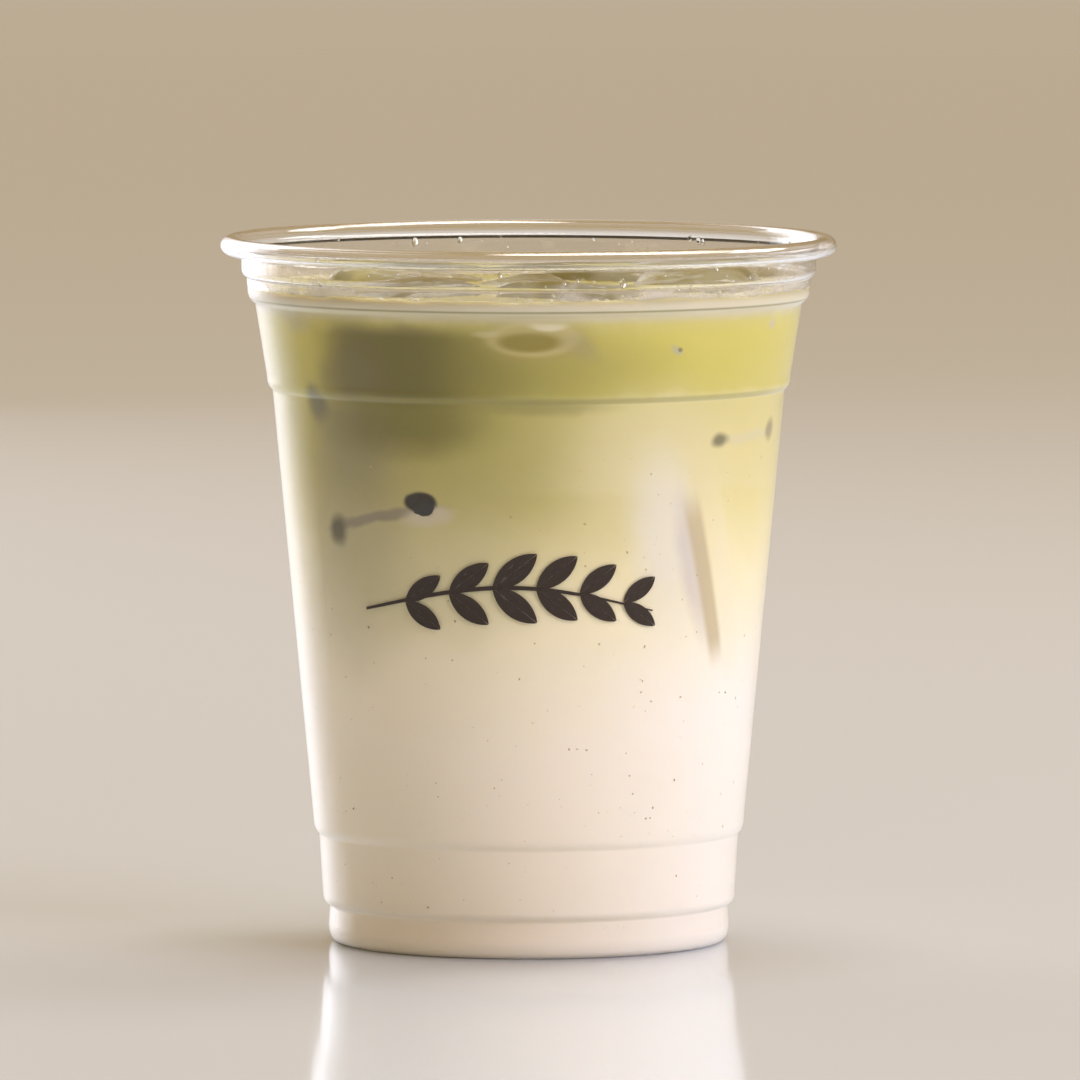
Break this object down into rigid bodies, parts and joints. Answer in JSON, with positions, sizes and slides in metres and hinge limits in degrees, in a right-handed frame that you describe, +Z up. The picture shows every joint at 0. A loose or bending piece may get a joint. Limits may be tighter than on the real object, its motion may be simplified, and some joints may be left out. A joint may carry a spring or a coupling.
{
  "type": "iced matcha latte",
  "caption": "Iced matcha latte in a clear tapered take-away cup with a rolled rim and stepped bands: creamy milk below, green matcha above, ice cubes floating at the top.",
  "frame": {"origin": "centre of the foot ring on the surface that the cup stands on", "axes": "+Z up along the cup's axis; the side that the picture shows faces -Y; +X is to the right in the picture"},
  "size_m": [0.098, 0.098, 0.1124],
  "materials": {
    "clear_plastic": "clear thermoformed PET, glossy",
    "milk": "whole milk, smooth and opaque",
    "matcha": "matcha with milk, cloudy yellow-green",
    "ice": "melting clear ice, wet"
  },
  "bodies": {
    "root": {"cup": "clear_plastic", "milk": "milk", "matcha": "matcha", "ice_front_left": "ice", "ice_front": "ice", "ice_right": "ice", "ice_back_right": "ice", "ice_back_left": "ice", "ice_middle": "ice"}
  },
  "joints": []
}
